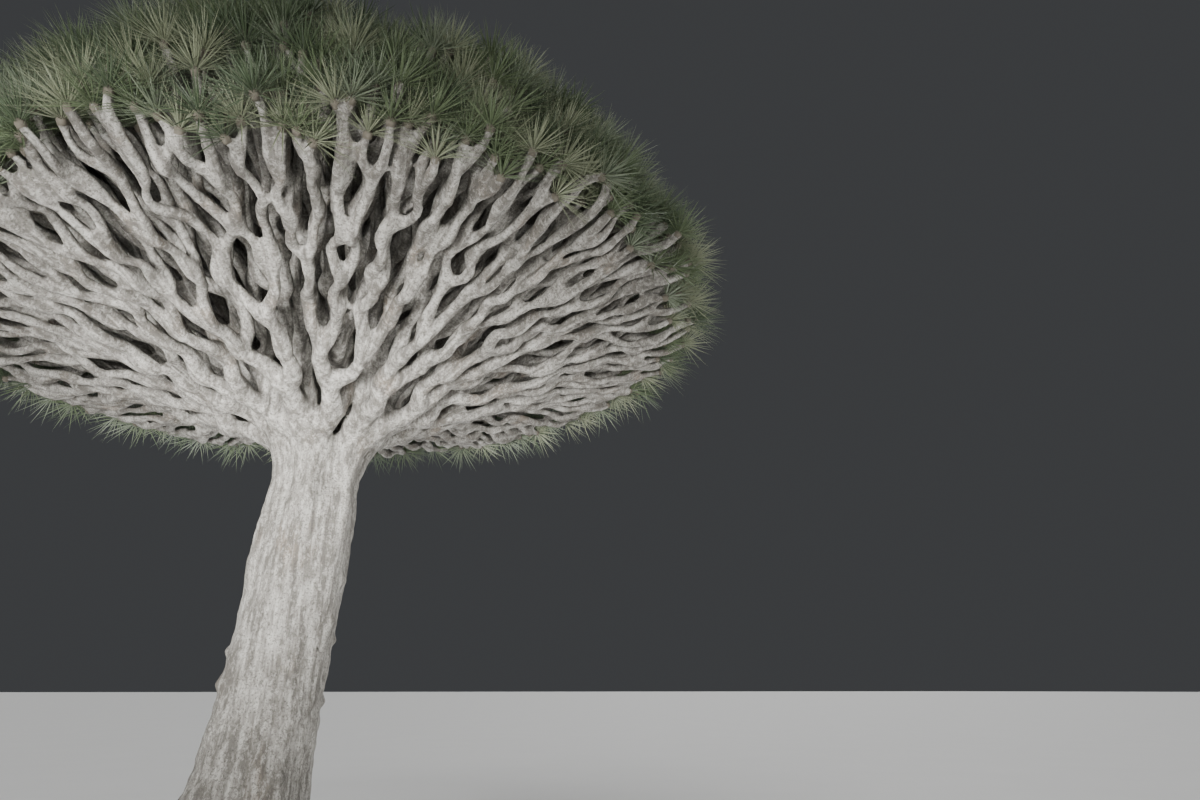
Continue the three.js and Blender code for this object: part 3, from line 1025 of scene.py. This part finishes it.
# %% Write the bark's finish
BARK_SHINE = 0.28
STREAK_DETAIL = 3
RING_DETAIL = 2
COARSE_RELIEF = 0.5
FINE_RELIEF = 0.3
BUMP_STRENGTH = 0.9
BUMP_DEPTH = 0.018
BARE_ROUGHNESS = 0.92
CRUST_SMOOTHS = 0.16
SKIN_STREAK_SCALE = (22, 22, 1.5)
SKIN_RING_SCALE = (2.5, 2.5, 30)
TWIG_STREAK_SCALE = (60, 60, 60)
TWIG_RING_SCALE = (14, 14, 14)


def bark_finish(name, streak_scale, ring_scale, from_fork):
    """from_fork turns the streaks outwards from the fork, as in the crown."""
    bark = Finish(name, {"Specular IOR Level": BARK_SHINE})
    place = bark.place()
    offset = bark.node("ShaderNodeVectorMath", {"operation": "SUBTRACT"}, {0: place, 1: tuple(FORK)})
    way = bark.node("ShaderNodeVectorMath", {"operation": "NORMALIZE"}, {0: offset})
    patches = bark.stretch(place, PATCH_STRETCH)
    lengthwise = way if from_fork else place
    rings = bark.noise(bark.stretch(place, ring_scale), scale=1, detail=RING_DETAIL)
    noises = {
        "streaks": bark.noise(bark.stretch(lengthwise, streak_scale), scale=1, detail=STREAK_DETAIL),
        "clouds": bark.noise(patches, *CLOUDS),
        "mottle": bark.noise(patches, *MOTTLE),
        "crust": bark.noise(patches, *CRUST),
        "grain": bark.noise(place, *GRAIN),
    }
    colour = ASH
    for coat in BARK_COATS:
        colour = lay_coat(bark, coat, noises[coat.noise], colour)
    coarse = COARSE_RELIEF * noises["streaks"] + COARSE_RELIEF * rings + COARSE_RELIEF * noises["mottle"]
    height = coarse + FINE_RELIEF * noises["crust"] + FINE_RELIEF * noises["grain"]
    rough = BARE_ROUGHNESS - CRUST_SMOOTHS * noises["crust"]
    bump = bark.bump(height, BUMP_STRENGTH, BUMP_DEPTH)
    return bark.paint({"Base Color": colour, "Roughness": rough, "Normal": bump})


skin_finish = bark_finish("silver_bark", SKIN_STREAK_SCALE, SKIN_RING_SCALE, from_fork=False)
twig_finish = bark_finish("twig_bark", TWIG_STREAK_SCALE, TWIG_RING_SCALE, from_fork=True)
print("finishes:", skin_finish.name, twig_finish.name)

# %% [markdown]
# ## The finish of the leaves and cuffs
#
# The leaves are leathery, with a dull shine and a bloom that greys them. Which tuft has which green is dealt
# out by mesh, as plain base colours, because a pattern painted over thousands of joined leaves would fall
# anywhere. Only the shine is uneven: it is duller where the bloom is thick.

# %% Write the finish of the leaves
LEAF_SHINE = 0.4
BLOOM_SCALE = 24
BLOOM_DETAIL = 3
LEAF_ROUGHNESS = 0.38
BLOOM_ROUGHENS = 0.25
LEAF_GRAIN_SCALE = 160
LEAF_GRAIN_DETAIL = 2
LEAF_BUMP_STRENGTH = 0.25
LEAF_BUMP_DEPTH = 0.002


def leaf_finish(name, colour):
    leaf = Finish(name, {"Base Color": colour, "Specular IOR Level": LEAF_SHINE})
    place = leaf.place()
    bloom = leaf.noise(place, BLOOM_SCALE, detail=BLOOM_DETAIL)
    grain = leaf.noise(place, LEAF_GRAIN_SCALE, detail=LEAF_GRAIN_DETAIL)
    bump = leaf.bump(grain, LEAF_BUMP_STRENGTH, LEAF_BUMP_DEPTH)
    return leaf.paint({"Roughness": LEAF_ROUGHNESS + BLOOM_ROUGHENS * bloom, "Normal": bump})


leaf_finishes = {tint: leaf_finish(f"leaf_{tint}", colour) for tint, colour in LEAF_TINTS.items()}
print("leaf finishes:", [finish.name for finish in leaf_finishes.values()])

# %% [markdown]
# A cuff is dry and fibrous, and of two browns in patches. The patches also raise it, and the pale ones are
# the smoother ones.

# %% Write the finish of the cuffs
CUFF_SHINE = 0.25
CUFF_BROWN = (0.085, 0.074, 0.056, 1)
CUFF_STRAW = (0.190, 0.172, 0.138, 1)
CUFF_PATCH_SCALE = 40
CUFF_ROUGHNESS = 0.95
STRAW_SMOOTHS = 0.2
CUFF_BUMP_STRENGTH = 0.6
CUFF_BUMP_DEPTH = 0.006


def cuff_finish():
    cuff_brown = Finish("leaf_base_brown", {"Specular IOR Level": CUFF_SHINE})
    patches = cuff_brown.noise(cuff_brown.place(), CUFF_PATCH_SCALE)
    colour = cuff_brown.blend(patches, CUFF_BROWN, CUFF_STRAW)
    rough = CUFF_ROUGHNESS - STRAW_SMOOTHS * patches
    bump = cuff_brown.bump(patches, CUFF_BUMP_STRENGTH, CUFF_BUMP_DEPTH)
    return cuff_brown.paint({"Base Color": colour, "Roughness": rough, "Normal": bump})


cuffs.data.materials.append(cuff_finish())
print("cuffs have the finish", cuffs.data.materials[0].name)

# %% [markdown]
# ## Onto the model
#
# The skin takes the place of the imported trunk, boughs and branches, and each bough's twigs take the place
# of its foliage, so the leaves and cuffs have no imported nodes left to stand for. Nothing on this tree
# moves, so every piece rides on the root.

# %% Give every piece its finish and its place on the model
skin.data.materials.append(skin_finish)
for twigs in twig_pieces.values():
    twigs.data.materials.append(twig_finish)
for tint, leaves in leaf_pieces.items():
    leaves.data.materials.append(leaf_finishes[tint])

carried = sorted(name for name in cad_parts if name.startswith(("trunk", "bough", "branch")))
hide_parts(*carried)
for bough, twigs in twig_pieces.items():
    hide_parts(*sorted(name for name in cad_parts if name.startswith(f"foliage_{bough}")))

for piece in [skin, *twig_pieces.values()]:
    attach(piece, "root")
for piece in [cuffs, *leaf_pieces.values()]:
    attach(piece, "root")
print("pieces on the model:", len([skin, cuffs, *twig_pieces, *leaf_pieces]))

# %% [markdown]
# ## The floor and the light
#
# The tree is shown in a plain studio. The floor is pale, with faint wide patches so that it isn't dead
# flat in tone, and so large that its far edge lies close to the horizon.

# %% Lay the floor
FLOOR_SIZE = 600
FLOOR_CORNERS = [(-1, -1), (1, -1), (1, 1), (-1, 1)]
FLOOR_ROUGHNESS = 0.8
FLOOR_SHINE = 0.2
FLOOR_GREY = (0.66, 0.66, 0.65, 1)
FLOOR_PALE = (0.70, 0.70, 0.69, 1)
FLOOR_PATCH_SCALE = 0.6

floor = new_piece("floor", [(x * FLOOR_SIZE, y * FLOOR_SIZE, 0) for x, y in FLOOR_CORNERS], [(0, 1, 2, 3)])
floor_finish = Finish("pale_floor", {"Roughness": FLOOR_ROUGHNESS, "Specular IOR Level": FLOOR_SHINE})
floor_patches = floor_finish.noise(floor_finish.place(), FLOOR_PATCH_SCALE)
floor_tone = floor_finish.blend(floor_patches, FLOOR_GREY, FLOOR_PALE)
floor.data.materials.append(floor_finish.paint({"Base Color": floor_tone}))
print("floor of", 2 * FLOOR_SIZE, "m a side")

# %% [markdown]
# Three wide, soft suns light the tree evenly from above, in front and behind, so that no edge of a lamp
# shows on the floor. What the picture shows best is the underside of the crown, which was lit from where
# the camera stood, so low lamps stand on that side and, weaker, on the others. Their beams are narrow and
# aimed a little above the fork, so that little of them falls on the floor. The backdrop is a dark grey, so
# that pale limbs stand out from the gaps between them.

# %% Set up the lights
AIM = Vector((0.3, 0, 3.9))
Sun = namedtuple("Sun", "place width_degrees strength")
SUNS = {
    "sun_above": Sun((-2.0, -3.0, 10.0), 60, 1.6),
    "sun_in_front": Sun((-6.0, -8.0, 7.5), 35, 0.6),
    "sun_behind": Sun((6.0, 8.0, 8.0), 45, 1.6),
}
Lamp = namedtuple("Lamp", "place width beam_degrees power")
LOW_LAMPS = {
    "lamp_at_camera": Lamp((-3.0, -7.4, 1.3), 3.0, 52, 165),
    "lamp_near_trunk": Lamp((-1.0, -4.4, 1.2), 2.2, 60, 20),
    "lamp_right": Lamp((8.5, -4.0, 1.5), 5.0, 66, 90),
    "lamp_left": Lamp((-9.0, 2.0, 1.5), 5.0, 66, 80),
    "lamp_behind": Lamp((2.0, 10.0, 1.5), 5.0, 66, 90),
}
LOW_LAMP_HEIGHT = 1.8
BACKDROP = (0.050, 0.052, 0.055, 1)


def add_light(name, kind, place, settings):
    """A light that points at the crown."""
    light = bpy.data.objects.new(name, bpy.data.lights.new(name, kind))
    for setting, value in settings.items():
        setattr(light.data, setting, value)
    light.location = place
    light.rotation_euler = (AIM - Vector(place)).to_track_quat("-Z", "Y").to_euler()
    scene.collection.objects.link(light)


for name, sun in SUNS.items():
    add_light(name, "SUN", sun.place, {"angle": math.radians(sun.width_degrees), "energy": sun.strength})
for name, lamp in LOW_LAMPS.items():
    add_light(name, "AREA", lamp.place, {
        "shape": "RECTANGLE",
        "size": lamp.width,
        "size_y": LOW_LAMP_HEIGHT,
        "spread": math.radians(lamp.beam_degrees),
        "energy": lamp.power,
    })

world = bpy.data.worlds.new("studio")
world.use_nodes = True
world.node_tree.nodes["Background"].inputs["Color"].default_value = BACKDROP
world.node_tree.nodes["Background"].inputs["Strength"].default_value = 1
scene.world = world
print("lights:", ", ".join([*SUNS, *LOW_LAMPS]))
